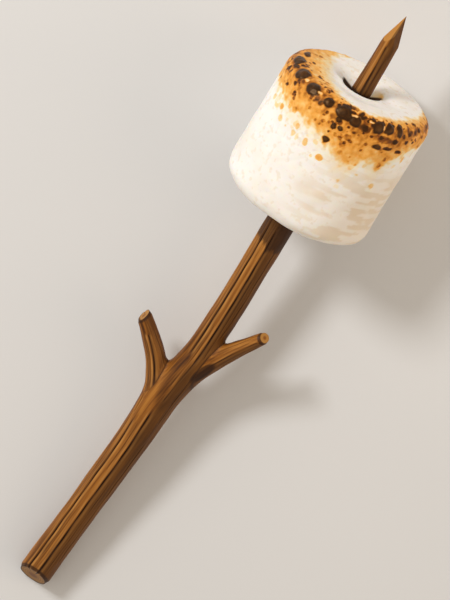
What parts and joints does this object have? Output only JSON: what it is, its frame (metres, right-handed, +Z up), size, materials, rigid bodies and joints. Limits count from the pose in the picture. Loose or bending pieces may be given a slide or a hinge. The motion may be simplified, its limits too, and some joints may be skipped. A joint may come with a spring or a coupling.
{
  "type": "toasted marshmallow on a twig",
  "caption": "Large toasted marshmallow pushed onto a forked twig with a whittled point, lying on its side.",
  "frame": {"origin": "middle of the bounding box of the lying treat, at the surface it rests on", "axes": "+X along the twig toward its whittled point, +Z up, +Y to the side of the stub that stands nearer the butt"},
  "size_m": [0.2058, 0.045, 0.0469],
  "materials": {
    "toasted_marshmallow": "soft powdery white, golden to dark brown and blistered round one rim",
    "twig_bark": "dry smooth brown bark with long cracks, pale cut ends"
  },
  "bodies": {
    "root": {"marshmallow": "toasted_marshmallow", "twig": "twig_bark"}
  },
  "joints": []
}
